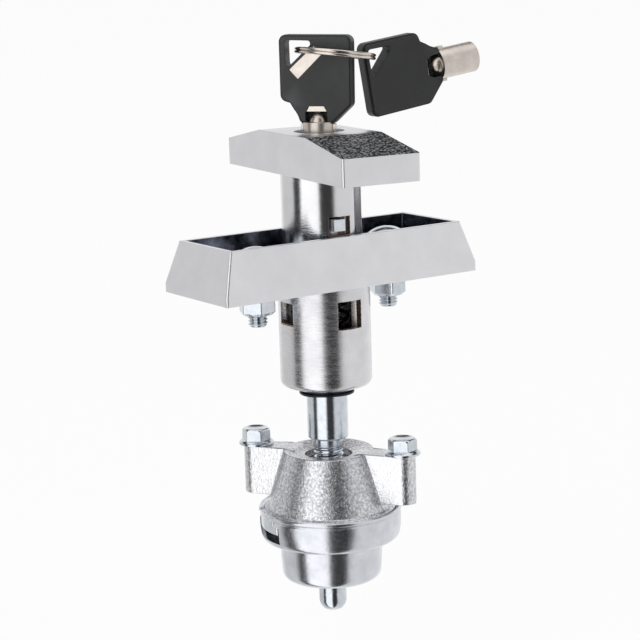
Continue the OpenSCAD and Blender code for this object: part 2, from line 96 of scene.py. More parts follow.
def colour(text):
    # an sRGB hex value as linear red, green, blue and alpha
    parts = [int(text[i:i + 2], 16) / 255 for i in (1, 3, 5)]
    return tuple(c / 12.92 if c <= 0.04045 else ((c + 0.055) / 1.055) ** 2.4 for c in parts) + (1.0,)


def grey(value):
    # a grey of that strength as red, green, blue and alpha
    return (value, value, value, 1)


def addNode(tree, kind, settings=(), sockets=()):
    # one node of any kind: settings are its own properties, or the stops of its ramp; a socket goes by its
    # name or its number and takes a value or a link
    node = tree.nodes.new("ShaderNode" + kind)
    for name, value in dict(settings).items():
        if name == "stops":
            stops = node.color_ramp.elements
            stops[1].position, stops[0].position = value[-1][0], value[0][0]
            for place, tone in value[1:-1]:
                stops.new(place)
            for place, tone in value:
                stop = min(stops, key=lambda element: abs(element.position - place))
                stop.color = tone if isinstance(tone, tuple) else grey(tone)
        else:
            setattr(node, name, value)
    for name, value in dict(sockets).items():
        if isinstance(value, bpy.types.NodeSocket):
            tree.links.new(value, node.inputs[name])
        else:
            node.inputs[name].default_value = value
    return node


# the studio that the metal mirrors: a white sweep all round, with a wide dark gap from behind the camera
# to its right and a narrow one at its left, a dark room above the sweep behind the part, and a lit
# ceiling. The ring has angle and tone; its angles are degrees from the camera's side, to the right in the
# picture. Low and high are the upward part of a direction, near and far its part towards the camera
studio = {"ring": [(-180, 0.95), (-146, 0.9), (-140, 0.7), (-88, 0.68), (-81, 0.06), (-64, 0.05), (-58, 1.3),
                   (-9, 1.3), (-3, 0.05), (33, 0.04), (41, 0.78), (105, 0.8), (146, 0.9), (180, 0.95)],
          "roofLow": 0.45, "roofHigh": 0.62, "roofNear": 0.25, "roofFar": -0.1, "roofTone": 0.03,
          "topLow": 0.72, "topHigh": 0.9, "topTone": 1.1, "backdrop": 0.97}
# white paper under the part, a sheet that reaches size metres each way. The receptacle can travel down by
# 40 mm, so the sheet lies drop millimetres below the part at rest; white is how much the camera sees it as
# plain white
paper = {"drop": 42, "size": 14.0, "white": 0.935, "lit": "#f4f4f4", "plain": "#fefefe"}


def makeSky():
    world = bpy.data.worlds.new("studio")
    bpy.context.scene.world = world
    world.use_nodes = True
    tree = world.node_tree
    tree.nodes.clear()
    way = addNode(tree, "TexCoord")
    level = addNode(tree, "Mapping", {"vector_type": "POINT"},
                    {"Vector": way.outputs["Generated"], "Rotation": (0, 0, math.radians(camera["azimuth"]))})
    parts = addNode(tree, "SeparateXYZ", (), {0: level.outputs[0]})
    back = addNode(tree, "Math", {"operation": "MULTIPLY"}, {0: parts.outputs[1], 1: -1.0})
    angle = addNode(tree, "Math", {"operation": "ARCTAN2"}, {0: parts.outputs[0], 1: back.outputs[0]})
    share = addNode(tree, "MapRange", (), {0: angle.outputs[0], 1: -math.pi, 2: math.pi})
    ring = addNode(tree, "ValToRGB", {"stops": [((a + 180) / 360, t) for a, t in studio["ring"]]},
                   {0: share.outputs[0]})
    # the dark room stands above the sweep, only on the far side
    roof = addNode(tree, "MapRange", {"interpolation_type": "SMOOTHSTEP"},
                   {0: parts.outputs[2], 1: studio["roofLow"], 2: studio["roofHigh"]})
    far = addNode(tree, "MapRange", {"interpolation_type": "SMOOTHSTEP"},
                  {0: back.outputs[0], 1: studio["roofNear"], 2: studio["roofFar"]})
    room = addNode(tree, "Math", {"operation": "MULTIPLY"}, {0: roof.outputs[0], 1: far.outputs[0]})
    walls = addNode(tree, "Mix", {"data_type": "RGBA"},
                    {0: room.outputs[0], 6: ring.outputs[0], 7: grey(studio["roofTone"])})
    top = addNode(tree, "MapRange", {"interpolation_type": "SMOOTHSTEP"},
                  {0: parts.outputs[2], 1: studio["topLow"], 2: studio["topHigh"]})
    whole = addNode(tree, "Mix", {"data_type": "RGBA"},
                    {0: top.outputs[0], 6: walls.outputs[2], 7: grey(studio["topTone"])})
    # the camera itself sees a plain backdrop
    path = addNode(tree, "LightPath")
    shown = addNode(tree, "Mix", {"data_type": "RGBA"},
                    {0: path.outputs["Is Camera Ray"], 6: whole.outputs[2], 7: grey(studio["backdrop"])})
    sky = addNode(tree, "Background", (), {0: shown.outputs[2]})
    addNode(tree, "OutputWorld", (), {0: sky.outputs[0]})


def makeFloor():
    low, size = cadBox[0][2] - paper["drop"] * mm, paper["size"]
    mesh = bpy.data.meshes.new("floor")
    mesh.from_pydata([(-size, -size, low), (size, -size, low), (size, size, low), (-size, size, low)], [],
                     [(0, 1, 2, 3)])
    floor = bpy.data.objects.new("floor", mesh)
    bpy.context.scene.collection.objects.link(floor)
    # the metal mirrors the studio's ring in its place, so the bands run on below the horizon
    floor.visible_glossy = False
    material = bpy.data.materials.new("white paper sweep")
    material.use_nodes = True
    tree = material.node_tree
    tree.nodes.clear()
    path = addNode(tree, "LightPath")
    amount = addNode(tree, "Math", {"operation": "MULTIPLY"},
                     {0: path.outputs["Is Camera Ray"], 1: paper["white"]})
    lit = addNode(tree, "BsdfDiffuse", (), {0: colour(paper["lit"])})
    plain = addNode(tree, "Emission", (), {0: colour(paper["plain"])})
    mixed = addNode(tree, "MixShader", (), {0: amount.outputs[0], 1: lit.outputs[0], 2: plain.outputs[0]})
    addNode(tree, "OutputMaterial", (), {0: mixed.outputs[0]})
    mesh.materials.append(material)


# soft lamps: (name, place, size in metres, power); they give the soft shadow, and the metal doesn't mirror
# them
lamps = [("left", (-1.5, -0.9, 1.2), 1.2, 14.0), ("right", (1.1, -1.6, 1.0), 1.4, 9.0)]


def makeLamps():
    for name, place, size, power in lamps:
        data = bpy.data.lights.new(name, "AREA")
        data.shape, data.size, data.energy = "SQUARE", size, power
        obj = bpy.data.objects.new(name, data)
        obj.location = place
        obj.rotation_mode = "QUATERNION"
        obj.rotation_quaternion = (-Vector(place)).to_track_quat("-Z", "Y")
        obj.visible_glossy = False
        bpy.context.scene.collection.objects.link(obj)


bpy.context.scene.view_settings.view_transform = "Standard"
makeCamera()
makeSky()
makeFloor()
makeLamps()
print("camera, studio and lamps made")


def startMaterial(name):
    # an empty material with a surface shader, the object's own coordinates and an output
    material = bpy.data.materials.new(name)
    material.use_nodes = True
    tree = material.node_tree
    tree.nodes.clear()
    shader = addNode(tree, "BsdfPrincipled")
    addNode(tree, "OutputMaterial", (), {0: shader.outputs[0]})
    return material, tree, shader, addNode(tree, "TexCoord")


# a noise's values lie mostly between these two
noiseSpan = (0.3, 0.7)
# an edge counts as rubbed from one pointiness to the other, and then takes this share of the paler tone
rubbed = {"metal": (0.505, 0.56, 0.35), "plastic": (0.51, 0.58, 0.7)}


def wornMetal(name, values):
    # plated or bare metal: cloudy tone, fine grain in one direction or none, uneven gloss, paler rubbed
    # edges. grain is the size of the surface's roughness along x, y and z in millimetres
    material, tree, shader, at = startMaterial(name)
    cloud = addNode(tree, "TexNoise", (), {"Vector": at.outputs["Object"], "Scale": metre / values["cloud"],
                                           "Detail": 3.0, "Roughness": 0.55})
    tones = colour(values["dark"]), colour(values["light"])
    tone = addNode(tree, "ValToRGB", {"stops": list(zip(noiseSpan, tones))}, {0: cloud.outputs[0]})
    stretched = addNode(tree, "Mapping", (), {"Vector": at.outputs["Object"],
                                              "Scale": tuple(metre / g for g in values["grain"])})
    grain = addNode(tree, "TexNoise", (), {"Vector": stretched.outputs[0], "Scale": 1.0, "Detail": 4.0,
                                           "Roughness": 0.6})
    worn = addNode(tree, "NewGeometry")
    start, end, share = rubbed["metal"]
    rub = addNode(tree, "MapRange", (), {0: worn.outputs["Pointiness"], 1: start, 2: end, 4: share})
    edge = addNode(tree, "Mix", {"data_type": "RGBA"}, {0: rub.outputs[0], 6: tone.outputs[0],
                                                       7: colour(values["edge"])})
    gloss = addNode(tree, "MapRange", (), {0: grain.outputs[0], 1: noiseSpan[0], 2: noiseSpan[1],
                                           3: values["gloss"][0], 4: values["gloss"][1]})
    bump = addNode(tree, "Bump", (), {"Height": grain.outputs[0], "Strength": values["bump"],
                                      "Distance": values["depth"] * mm})
    shader.inputs["Metallic"].default_value = 1.0
    tree.links.new(edge.outputs[2], shader.inputs["Base Color"])
    tree.links.new(gloss.outputs[0], shader.inputs["Roughness"])
    tree.links.new(bump.outputs[0], shader.inputs["Normal"])
    return {"material": material, "tree": tree, "shader": shader, "at": at, "colour": edge.outputs[2],
            "gloss": gloss.outputs[0], "bump": bump.outputs[0]}


def overlay(look, mask, values):
    # lays a second finish over the first where mask is one: own tones, own flecks, own gloss and own relief
    tree, shader = look["tree"], look["shader"]
    fleck = addNode(tree, "TexNoise", (), {"Vector": look["at"].outputs["Object"],
                                           "Scale": metre / values["fleck"], "Detail": 3.0, "Roughness": 0.6})
    stops = [(values["from"], colour(values["dark"])), (values["to"], colour(values["light"]))]
    tone = addNode(tree, "ValToRGB", {"stops": stops}, {0: fleck.outputs[0]})
    look["colour"] = addNode(tree, "Mix", {"data_type": "RGBA"},
                             {0: mask, 6: look["colour"], 7: tone.outputs[0]}).outputs[2]
    gloss = addNode(tree, "MapRange", (), {0: fleck.outputs[0], 1: noiseSpan[0], 2: noiseSpan[1],
                                           3: values["gloss"][0], 4: values["gloss"][1]})
    look["gloss"] = addNode(tree, "Mix", (), {0: mask, 2: look["gloss"], 3: gloss.outputs[0]}).outputs[0]
    strength = addNode(tree, "Math", {"operation": "MULTIPLY"}, {0: mask, 1: values["bump"]})
    bump = addNode(tree, "Bump", (), {"Height": fleck.outputs[0], "Strength": strength.outputs[0],
                                      "Distance": values["depth"] * mm, "Normal": look["bump"]})
    look["bump"] = bump.outputs[0]
    for name, source in (("Base Color", "colour"), ("Roughness", "gloss"), ("Normal", "bump")):
        tree.links.new(look[source], shader.inputs[name])


# the ragged border of a raw window: how far it strays and over what length, both in millimetres, and the
# shares of the box's half size between which it ends
border = {"stray": 0.5, "length": 0.9, "outer": 1.03, "inner": 0.98}


def boxMask(look, middle, half, turn=0.0):
    # one inside a box round middle, both in millimetres, turned about z by turn degrees; noise moves each
    # point by nothing to border's stray, which is why the middle is moved by half of it
    tree = look["tree"]
    aligned = addNode(tree, "Mapping", (), {"Vector": look["at"].outputs["Object"],
                                            "Rotation": (0, 0, math.radians(-turn))})
    stray = addNode(tree, "TexNoise", (), {"Vector": aligned.outputs[0], "Scale": metre / border["length"]})
    shift = addNode(tree, "VectorMath", {"operation": "MULTIPLY_ADD"},
                    {0: stray.outputs[1], 1: (border["stray"] * mm,) * 3, 2: aligned.outputs[0]})
    away = addNode(tree, "VectorMath", {"operation": "SUBTRACT"},
                   {0: shift.outputs[0], 1: tuple((m + border["stray"] / 2) * mm for m in middle)})
    size = addNode(tree, "VectorMath", {"operation": "ABSOLUTE"}, {0: away.outputs[0]})
    share = addNode(tree, "VectorMath", {"operation": "DIVIDE"},
                    {0: size.outputs[0], 1: tuple(h * mm for h in half)})
    parts = addNode(tree, "SeparateXYZ", (), {0: share.outputs[0]})
    wide = addNode(tree, "Math", {"operation": "MAXIMUM"}, {0: parts.outputs[0], 1: parts.outputs[1]})
    most = addNode(tree, "Math", {"operation": "MAXIMUM"}, {0: wide.outputs[0], 1: parts.outputs[2]})
    mask = addNode(tree, "MapRange", (), {0: most.outputs[0], 1: border["outer"], 2: border["inner"]})
    return mask.outputs[0]


# the mask of the painted shade in the dish's pocket
def pocketShadeMask(look, walls, floor, level):
    # one on surfaces that look towards the z axis, and on level floors. Walls is how far from the axis
    # they stand, floor the height where floors end, both in millimetres; level is the upward part of a
    # floor's direction
    tree, at = look["tree"], look["at"]
    reach = addNode(tree, "VectorMath", {"operation": "MULTIPLY"}, {0: at.outputs["Object"], 1: (1, 1, 0)})
    along = addNode(tree, "VectorMath", {"operation": "DOT_PRODUCT"},
                    {0: reach.outputs[0], 1: at.outputs["Normal"]})
    inward = addNode(tree, "MapRange", (), {0: along.outputs["Value"], 1: -walls[0] * mm, 2: -walls[1] * mm})
    place = addNode(tree, "SeparateXYZ", (), {0: at.outputs["Object"]})
    low = addNode(tree, "MapRange", (), {0: place.outputs[2], 1: floor[0] * mm, 2: floor[1] * mm})
    face = addNode(tree, "SeparateXYZ", (), {0: at.outputs["Normal"]})
    up = addNode(tree, "MapRange", (), {0: face.outputs[2], 1: level[0], 2: level[1]})
    bottom = addNode(tree, "Math", {"operation": "MULTIPLY"}, {0: low.outputs[0], 1: up.outputs[0]})
    mask = addNode(tree, "Math", {"operation": "MAXIMUM"}, {0: inward.outputs[0], 1: bottom.outputs[0]})
    return mask.outputs[0]


def slopeMask(look, rise, fall):
    # one on slanted faces, where the level part of their direction lies between rise and fall. The head
    # only turns about z, so the face's direction in the world will do
    tree = look["tree"]
    face = addNode(tree, "NewGeometry")
    level = addNode(tree, "VectorMath", {"operation": "MULTIPLY"},
                    {0: face.outputs["True Normal"], 1: (1, 1, 0)})
    size = addNode(tree, "VectorMath", {"operation": "LENGTH"}, {0: level.outputs[0]})
    above = addNode(tree, "MapRange", (), {0: size.outputs["Value"], 1: rise[0], 2: rise[1]})
    below = addNode(tree, "MapRange", (), {0: size.outputs["Value"], 1: fall[0], 2: fall[1]})
    mask = addNode(tree, "Math", {"operation": "MULTIPLY"}, {0: above.outputs[0], 1: below.outputs[0]})
    return mask.outputs[0]


def towardsMask(look, way, near):
    # one where the surface looks along the level direction of way degrees, forward or backward; near is
    # the cosine of the angle between the two where the mask begins and where it is full
    tree, angle = look["tree"], math.radians(way)
    along = addNode(tree, "VectorMath", {"operation": "DOT_PRODUCT"},
                    {0: look["at"].outputs["Normal"], 1: (math.cos(angle), math.sin(angle), 0)})
    size = addNode(tree, "Math", {"operation": "ABSOLUTE"}, {0: along.outputs["Value"]})
    return addNode(tree, "MapRange", (), {0: size.outputs[0], 1: near[0], 2: near[1]}).outputs[0]


metals = {
    # zinc die casting under satin chrome: pearly grey with faint clouds
    "cast_chrome": {"dark": "#e6e6ea", "light": "#efeff2", "edge": "#fafafa", "cloud": 9,
                    "grain": (0.5, 0.5, 0.5), "gloss": (0.3, 0.38), "bump": 0.05, "depth": 0.04},
    # drawn steel tube, turned and nickel plated: fine level scratches round it
    "drawn_nickel": {"dark": "#dadadd", "light": "#e8e7ea", "edge": "#f8f5f3", "cloud": 6,
                     "grain": (2.8, 2.8, 0.3), "gloss": (0.19, 0.35), "bump": 0.6, "depth": 0.06},
    # steel or zinc with bright chrome: mirror with light wiping marks
    "bright_chrome": {"dark": "#d6d6d9", "light": "#e4e4e6", "edge": "#f8f8f8", "cloud": 8,
                      "grain": (1.6, 1.6, 0.2), "gloss": (0.05, 0.12), "bump": 0.04, "depth": 0.02},
    # zinc electroplate on steel: bluish, slightly hazy
    "zinc_plate": {"dark": "#c8d0d8", "light": "#dfe4e9", "edge": "#f4f7fa", "cloud": 3,
                   "grain": (0.6, 0.6, 0.3), "gloss": (0.1, 0.2), "bump": 0.5, "depth": 0.06},
    # turned steel, oiled
    "machined_steel": {"dark": "#cfccca", "light": "#dedcda", "edge": "#eeeeee", "cloud": 5,
                       "grain": (1.5, 1.5, 0.15), "gloss": (0.22, 0.38), "bump": 0.2, "depth": 0.03},
    # zinc casting under bright nickel: the mould's coarse skin still sparkles through
    "cast_zinc": {"dark": "#a6a8ae", "light": "#f8f8fc", "edge": "#fafafa", "cloud": 0.8,
                  "grain": (0.6, 0.6, 0.6), "gloss": (0.13, 0.28), "bump": 1.0, "depth": 0.14},
    # deep-drawn steel sheet under zinc: soft, silky reflections
    "pressed_sheet": {"dark": "#d3d6dc", "light": "#e6e8ee", "edge": "#f8f8fa", "cloud": 5,
                      "grain": (0.8, 0.8, 0.8), "gloss": (0.17, 0.27), "bump": 0.3, "depth": 0.05},
    # spring steel with black oxide
    "black_steel": {"dark": "#17181a", "light": "#26272a", "edge": "#6b6c70", "cloud": 2,
                    "grain": (0.4, 0.4, 0.4), "gloss": (0.3, 0.45), "bump": 0.1, "depth": 0.02},
    # brass or steel with a warm nickel plate: yellowish white and bright
    "warm_nickel": {"dark": "#c9beb4", "light": "#ddd4cb", "edge": "#fbf6f0", "cloud": 3,
                    "grain": (0.7, 0.7, 0.2), "gloss": (0.14, 0.26), "bump": 0.1, "depth": 0.02},
}


# black ABS, injection moulded with a fine matt texture; rubbed edges are a little paler
plastic = {"edge": "#46474a", "texture": 0.35, "cloud": 5, "tone": (0.35, 0.7), "gloss": (0.36, 0.52),
           "bump": 0.25, "depth": 0.03, "ior": 1.53}


def blackPlastic(name, dark, light):
    material, tree, shader, at = startMaterial(name)
    cloud = addNode(tree, "TexNoise", (), {"Vector": at.outputs["Object"], "Scale": metre / plastic["cloud"]})
    tone = addNode(tree, "ValToRGB", {"stops": list(zip(plastic["tone"], (colour(dark), colour(light))))},
                   {0: cloud.outputs[0]})
    worn = addNode(tree, "NewGeometry")
    start, end, share = rubbed["plastic"]
    rub = addNode(tree, "MapRange", (), {0: worn.outputs["Pointiness"], 1: start, 2: end, 4: share})
    edge = addNode(tree, "Mix", {"data_type": "RGBA"}, {0: rub.outputs[0], 6: tone.outputs[0],
                                                       7: colour(plastic["edge"])})
    skin = addNode(tree, "TexNoise", (), {"Vector": at.outputs["Object"], "Scale": metre / plastic["texture"],
                                          "Detail": 3.0})
    gloss = addNode(tree, "MapRange", (), {0: skin.outputs[0], 1: noiseSpan[0], 2: noiseSpan[1],
                                           3: plastic["gloss"][0], 4: plastic["gloss"][1]})
    bump = addNode(tree, "Bump", (), {"Height": skin.outputs[0], "Strength": plastic["bump"],
                                      "Distance": plastic["depth"] * mm})
    shader.inputs["IOR"].default_value = plastic["ior"]
    tree.links.new(edge.outputs[2], shader.inputs["Base Color"])
    tree.links.new(gloss.outputs[0], shader.inputs["Roughness"])
    tree.links.new(bump.outputs[0], shader.inputs["Normal"])
    return material


materials = {name: wornMetal(name.replace("_", " "), values)["material"] for name, values in metals.items()}
materials["black_plastic"] = blackPlastic("black moulded ABS", "#151617", "#1c1d1e")

# the windows of barrel and shank were cut after copper plating and before nickel: brown, rough edges
copper = {"dark": "#55443c", "light": "#c4a796", "from": 0.35, "to": 0.65, "fleck": 0.5, "gloss": (0.3, 0.6),
          "bump": 0.4, "depth": 0.08}
# where that shows, in millimetres and degrees; the barrel's smaller window was wiped clean but for its
# lower edge
rawEdges = {"larger": {"middle": (0, -14.2, -8.75), "half": (4.3, 4, 4.35)},
            "smaller": {"middle": (-14.2, 0, -11.6), "half": (4, 3.5, 0.5)},
            "shank": {"middle": (-13, 0, 18.5), "half": (4, 3.62, 2.92), "turn": 82.7}}
barrelLook = wornMetal("nickel plated drawn tube with raw windows", metals["drawn_nickel"])
for window in ("larger", "smaller"):
    overlay(barrelLook, boxMask(barrelLook, **rawEdges[window]), copper)
shankLook = wornMetal("bright chromed tube with a raw window",
                      {**metals["bright_chrome"], "grain": (1.6, 1.6, 0.4), "gloss": (0.12, 0.22),
                       "bump": 0.6, "depth": 0.06})
overlay(shankLook, boxMask(shankLook, **rawEdges["shank"]), copper)
# the dish's pocket is painted dark: painted shade and a painted dark reflection inside the dish, in place of the
# shadow and the dark room that its chrome would mirror
dishLook = wornMetal("satin chromed casting with painted shade in its pocket", metals["cast_chrome"])
overlay(dishLook, pocketShadeMask(dishLook, walls=(1, 3), floor=(8.2, 7.8), level=(0.6, 0.8)),
        {"dark": "#565862", "light": "#868995", "from": 0.3, "to": 0.7, "fleck": 3.0, "gloss": (0.14, 0.28),
         "bump": 0.05, "depth": 0.05})
# the head's two slopes keep the mould's pebbled skin in light flecks and relief; their near-black tone is a
# painted dark reflection of the room above
headLook = wornMetal("satin chromed casting with pebbled slopes", metals["cast_chrome"])
overlay(headLook, slopeMask(headLook, rise=(0.07, 0.13), fall=(0.55, 0.45)),
        {"dark": "#131416", "light": "#d5d6da", "from": 0.49, "to": 0.58, "fleck": 0.8, "gloss": (0.42, 0.6),
         "bump": 0.7, "depth": 0.2})
# the receptacle's cast skin is tumbled smoother on the ears' flat sides; the ears point along earWay degrees
earWay = -55.8
coneLook = wornMetal("tumbled zinc casting with smooth ears", metals["cast_zinc"])
overlay(coneLook, towardsMask(coneLook, earWay + 90, near=(0.95, 0.985)),
        {"dark": "#e2e2e8", "light": "#ffffff", "from": 0.3, "to": 0.7, "fleck": 1.2, "gloss": (0.16, 0.3),
         "bump": 0.4, "depth": 0.05})
# the keys' tubes are tumbled before plating, which leaves them softer than the ring
tubeLook = wornMetal("tumbled nickel plate", {**metals["warm_nickel"], "gloss": (0.26, 0.4)})
ownLook = {"receptacle_cone": coneLook["material"], "key_tube": tubeLook["material"],
           "spare_key_tube": tubeLook["material"],
           # the unused key's bow is the same black ABS as the other key's, painted darker as painted shade
           "spare_key_bow": blackPlastic("black ABS of the unused key darkened as painted shade", "#09090a", "#0e0f10"),
           "housing_barrel": barrelLook["material"], "handle_shank": shankLook["material"],
           "escutcheon_dish": dishLook["material"], "t_handle_head": headLook["material"]}
print("materials made")


def finishPiece(name, mesh, body, nodes, material):
    # links the piece, gives it its material, says which body carries it, and hides the nodes it stands for
    obj = bpy.data.objects.new(name, mesh)
    bpy.context.scene.collection.objects.link(obj)
    mesh.materials.clear()
    mesh.materials.append(material)
    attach(obj, body)
    if nodes:
        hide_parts(*nodes)
    return obj


def roundEdges(obj, width, angle, clamp=True):
    # rounds the edges between faces that meet at more than angle degrees, in two steps, width in millimetres
    bevel = obj.modifiers.new("edges", "BEVEL")
    bevel.limit_method, bevel.angle_limit = "ANGLE", math.radians(angle)
    bevel.width, bevel.segments = width * mm, 2
    bevel.use_clamp_overlap = clamp
    return obj


def levelFaces(obj):
    # vertex normals follow the large faces, so flats stay flat beside small roundings
    flat = obj.modifiers.new("level faces", "WEIGHTED_NORMAL")
    flat.mode, flat.weight = "FACE_AREA_WITH_ANGLE", 90


def dressNode(node, edge, angle):
    # a copy of the node's mesh: vertices within 0.002 mm merged, and its edges rounded by edge mm
    mesh = frame["nodes"][node].data.copy()
    shape = bmesh.new()
    shape.from_mesh(mesh)
    bmesh.ops.remove_doubles(shape, verts=shape.verts, dist=0.002 * mm)
    shape.to_mesh(mesh)
    shape.free()
    mesh.shade_smooth()
    material = ownLook.get(node, materials[slotOf[node]])
    obj = finishPiece(node + "_piece", mesh, bodyOf[node], [node], material)
    levelFaces(roundEdges(obj, edge, angle, clamp=False))


def gridQuads(rows, columns, loop=False):
    # the corner numbers of each face between neighbours in a grid of points, as an array rows x columns x 4.
    # Columns close on themselves; rows close too where the shell is a loop
    index = np.arange(rows * columns).reshape(rows, columns)
    index = np.hstack([index, index[:, :1]])
    if loop:
        index = np.vstack([index, index[:1]])
    return np.stack([index[:-1, :-1], index[:-1, 1:], index[1:, 1:], index[1:, :-1]], -1)


def gridMesh(name, shells):
    # each shell is rows x columns x 3 in millimetres, and says whether its rows close into a loop; where
    # they don't, both ends close with a fan to their middle
    verts, faces, start = [], [], 0
    for points, loop in shells:
        rows, columns = points.shape[:2]
        grid = gridQuads(rows, columns, loop)
        quads = grid.reshape(-1, 4)
        flat, parts = points.reshape(-1, 3), [quads]
        if not loop:
            first, last = np.full(columns, rows * columns), np.full(columns, rows * columns + 1)
            parts += [np.stack([grid[0, :, 1], grid[0, :, 0], first], -1),
                      np.stack([grid[-1, :, 3], grid[-1, :, 2], last], -1)]
            flat = np.vstack([flat, points[0].mean(0), points[-1].mean(0)])
        # a shell whose volume comes out negative is turned inside out
        a, b, c, d = (flat[quads[:, i]] - flat.mean(0) for i in range(4))
        outward = np.sum(a * np.cross(b, c)) + np.sum(a * np.cross(c, d)) > 0
        for part in parts:
            faces += ((part if outward else part[:, ::-1]) + start).tolist()
        verts.append(flat)
        start += len(flat)
    mesh = bpy.data.meshes.new(name)
    mesh.from_pydata((np.vstack(verts) * mm).tolist(), [], faces)
    mesh.shade_smooth()
    return mesh


def polar(radius, angle, height):
    # the point (radius cos angle, radius sin angle, height), for numbers or for arrays that fit each other
    return np.stack(np.broadcast_arrays(radius * np.cos(angle), radius * np.sin(angle), height), -1)


def fullTurn(columns):
    # the angles of that many equal steps round a circle
    return np.linspace(0, 2 * np.pi, columns, endpoint=False)


def revolve(profile, columns=96):
    # profile point (r, z) at angle a goes to (r cos a, r sin a, z)
    profile = np.array(profile, float)
    return polar(profile[:, :1], fullTurn(columns), profile[:, 1:])


def rounded(profile, radius, steps=4):
    # every inner corner P between A and B becomes the curve (1-t)^2 P1 + 2t(1-t) P + t^2 P2, where P1 and
    # P2 lie radius before and behind it, or two fifths of the edge where that is shorter; radius is one or
    # one a corner
    profile = np.array(profile, float)
    before, corner, behind = profile[:-2], profile[1:-1], profile[2:]
    toA, toB = before - corner, behind - corner
    lengthA, lengthB = (np.linalg.norm(v, axis=1, keepdims=True) for v in (toA, toB))
    radius = np.broadcast_to(np.array(radius, float), len(corner))[:, None]
    first = corner + toA / lengthA * np.minimum(radius, 0.4 * lengthA)
    last = corner + toB / lengthB * np.minimum(radius, 0.4 * lengthB)
    t = np.linspace(0, 1, steps + 1)[None, :, None]
    curve = (1 - t) ** 2 * first[:, None] + 2 * t * (1 - t) * corner[:, None] + t ** 2 * last[:, None]
    return np.vstack([profile[:1], curve.reshape(-1, 2), profile[-1:]])


def threadRod(profile, low, high, pitch, depth, columns=64, perPitch=12):
    # a revolved profile whose radius is cut back between low and high by depth times a tooth of z/pitch -
    # angle/turn; the tooth is a triangle with a flat crest and root, and the cut fades out over one pitch
    # at both ends
    profile = np.array(sorted(profile, key=lambda p: p[1]), float)
    rows = np.union1d(profile[:, 1], np.arange(low, high, pitch / perPitch))
    angle = fullTurn(columns)
    radius = np.interp(rows, profile[:, 1], profile[:, 0])[:, None]
    phase = rows[:, None] / pitch - angle / (2 * np.pi)
    # a triangle 1.3 high, lowered by 0.15 and cut off at 0 and 1
    tooth = np.clip(np.abs(2 * (phase % 1) - 1) * 1.3 - 0.15, 0, 1)
    fade = np.clip(np.minimum(rows - low, high - rows) / pitch, 0, 1)[:, None]
    radius = radius - depth * tooth * fade
    return polar(radius, angle, rows[:, None])


def tubeAlong(path, wire, columns=14):
    # a round wire along a path: point i + wire/2 (cos a N + sin a B), N and B the path's level normal and
    # binormal
    ahead = np.gradient(path, axis=0)
    ahead /= np.linalg.norm(ahead, axis=1, keepdims=True)
    side = np.cross(ahead, (0, 0, 1.0))
    side /= np.linalg.norm(side, axis=1, keepdims=True)
    up = np.cross(side, ahead)
    angle = fullTurn(columns)[None, :, None]
    return path[:, None] + wire / 2 * (np.cos(angle) * side[:, None] + np.sin(angle) * up[:, None])


def hexRadius(angle, across, turn):
    # distance from the middle to a hexagon's side: half the width across flats over cos of the angle from
    # that side
    share = (angle - math.radians(turn)) % (math.pi / 3) - math.pi / 6
    return across / 2 / np.cos(share)


def hexRevolve(profile, across, turn, columns=96):
    # a revolved profile (radius, z, six-sided or not) whose radius is the smaller of its own and the
    # hexagon's
    radius, height, six = (np.array(v)[:, None] for v in zip(*profile))
    angle = fullTurn(columns)
    return polar(np.where(six, np.minimum(radius, hexRadius(angle, across, turn)), radius), angle, height)


def turned(points, axis, degrees):
    # points are rows; the turn is counted against the clock about the axis
    return points @ np.array(Matrix.Rotation(math.radians(degrees), 3, axis)).T


def placed(points, place=(0, 0, 0), turn=0.0):
    # points turned about z by turn degrees, then moved
    return turned(points, "Z", turn) + np.array(place)


# threaded stud: pilot, rod with the ring groove, 3/8-16 thread and a rounded nose, radius and height in mm
stud = {"top": [(0.4, -16.7), (4.8, -16.7), (5.37, -17.7), (5.37, -29.75), (6.37, -29.75), (6.37, -32.85),
                (5.57, -32.85), (5.57, -34.1), (6.37, -34.1), (6.37, -49.4), (4.76, -49.4), (4.76, -52.3),
                (4.2, -52.6)],
        "rounding": 0.55, "thread": (-91.9, -52.6), "pitch": 1.5875, "depth": 0.95,
        "nose": [(4.76, -91.9), (4.36, -92.4), (4.36, -102.9), (4.05, -104.2), (3.2, -105.4), (1.8, -106.1),
                 (0.5, -106.3)]}
upper = revolve(rounded(stud["top"], stud["rounding"]), columns=64)
lower = threadRod([(4.76, stud["thread"][1])] + stud["nose"], *stud["thread"], stud["pitch"], stud["depth"])
mesh = gridMesh("threaded_stud", [(np.vstack([upper[:-1], lower[::-1]]), False)])
levelFaces(finishPiece("threaded_stud_piece", mesh, "stud", ["threaded_stud"], materials["zinc_plate"]))

# split ring: two turns of round wire, one on the other, with a short crossing; its middle is half way
# between the two key holes and its plane dips towards the spare key. Apart is how far each turn lies from
# the middle, in wires
ring = {"radius": 12.0, "wire": 1.0, "turns": (22, 698), "points": 240, "crossing": 18, "apart": 0.48,
        "way": 65, "dip": 8}
middle = sum(np.array(joints[name]["pos_m"]) for name in ("ring_swing", "spare_swing")) / 2 / mm
sweep = np.linspace(*ring["turns"], ring["points"])
stack = np.clip((sweep - 360) / ring["crossing"], -1, 1) * ring["wire"] * ring["apart"]
path = placed(polar(ring["radius"], np.radians(sweep), stack), turn=ring["way"])
wire = turned(tubeAlong(path, ring["wire"]), "Y", ring["dip"]) + middle
mesh = gridMesh("split_ring", [(wire, False)])
finishPiece("split_ring_piece", mesh, "ring", ["split_ring"], materials["warm_nickel"])

# compression springs with closed end turns: mean radius, wire, turns, and the heights between which each
# one stands; keep is its length at the joint's far end as a share of this one
springs = {"popout_spring": {"radius": 7.2, "wire": 1.3, "turns": 9.5, "stand": (-27.6, 14.1),
                             "body": "stud", "joint": "handle_pop", "keep": 0.568},
           "jaw_spring": {"radius": 10.4, "wire": 1.6, "turns": 5.5, "stand": (-93.85, -70.9),
                          "body": "receptacle", "joint": "plate_slide", "keep": 0.85}}
